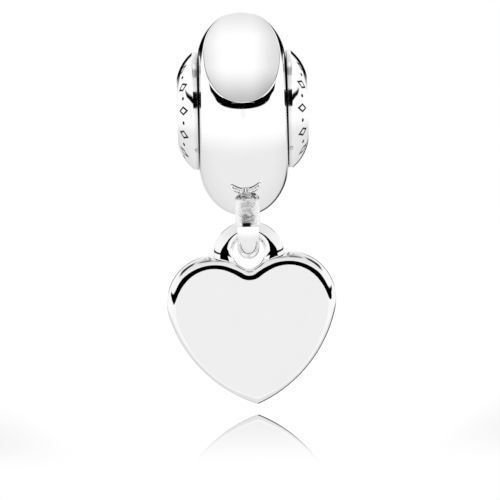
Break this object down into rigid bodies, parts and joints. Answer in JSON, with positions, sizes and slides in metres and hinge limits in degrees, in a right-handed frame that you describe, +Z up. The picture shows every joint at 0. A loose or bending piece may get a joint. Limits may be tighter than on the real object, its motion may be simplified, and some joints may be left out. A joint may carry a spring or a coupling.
{
  "type": "dangle charm",
  "caption": "Round silver bead with a polished oval facet, flared end caps and a small ring, from which a flat heart with rounded edges hangs by its eyelet.",
  "frame": {"origin": "middle of the bore through the bead", "axes": "+X along the bore, -Y towards the front with the facet and the heart's face, +Z up, with the heart hanging below"},
  "size_m": [0.009, 0.0108, 0.0208],
  "materials": {
    "polished_silver": "polished sterling silver",
    "cap_silver": "polished sterling silver with blackened engraving",
    "heart_silver": "polished sterling silver"
  },
  "bodies": {
    "bead": {"bead_body": "polished_silver", "end_cap_left": "cap_silver", "end_cap_right": "cap_silver"},
    "heart": {"heart": "heart_silver"}
  },
  "joints": [
    {"name": "heart_swing", "type": "hinge", "parent": "bead", "child": "heart", "pos_m": [0.0001, -0.0029, -0.00732], "axis": [0, 1, 0], "range_deg": [-60, 60]}
  ]
}
